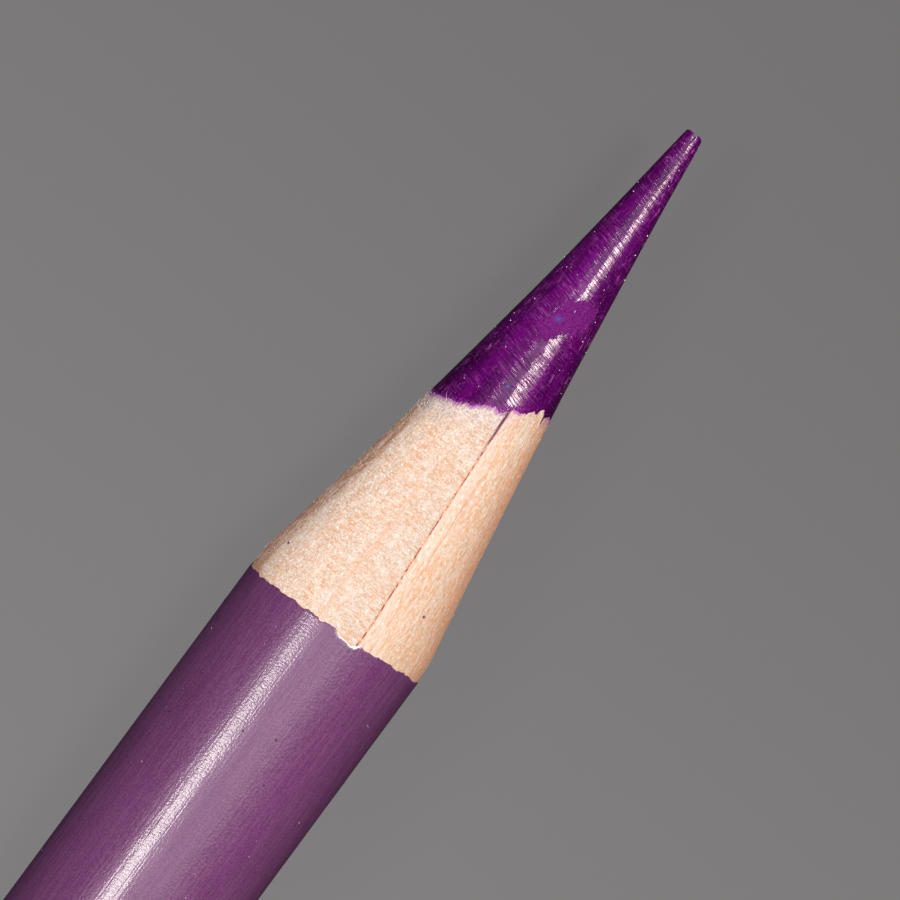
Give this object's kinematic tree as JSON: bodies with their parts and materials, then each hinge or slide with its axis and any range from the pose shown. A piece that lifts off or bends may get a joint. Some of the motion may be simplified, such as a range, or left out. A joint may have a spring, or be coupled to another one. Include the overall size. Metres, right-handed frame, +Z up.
{
  "type": "coloured pencil",
  "caption": "Round wood-cased colour pencil, sharpened to a slightly chipped point: thick violet core, glued wood slats, white primer, plum lacquer and a domed dipped end.",
  "frame": {"origin": "under the middle of the pencil's length, on the surface it lies on, at the bottom centre of its bounding box", "axes": "+X along the pencil to the sharpened point; +Z up; +Y to the left when looking along +X; the plane of the slats' glue joint is parallel to XZ"},
  "size_m": [0.175, 0.0076, 0.0075],
  "materials": {
    "violet_core": "waxy, half gloss, with fine turned grooves",
    "pale_glue": "dull",
    "cream_wood": "bare, cut by a sharpener, fuzzy at the core",
    "peach_wood": "bare, cut by a sharpener, smooth",
    "brown_glue": "dull",
    "white_primer": "dull, seen only where the lacquer is chipped",
    "plum_lacquer": "glossy with light orange peel",
    "dark_dip": "glossy"
  },
  "bodies": {
    "root": {"color_core": "violet_core", "core_glue": "pale_glue", "left_slat": "cream_wood", "right_slat": "peach_wood", "joint_glue": "brown_glue", "primer_coat": "white_primer", "color_lacquer": "plum_lacquer", "end_dip": "dark_dip"}
  },
  "joints": []
}
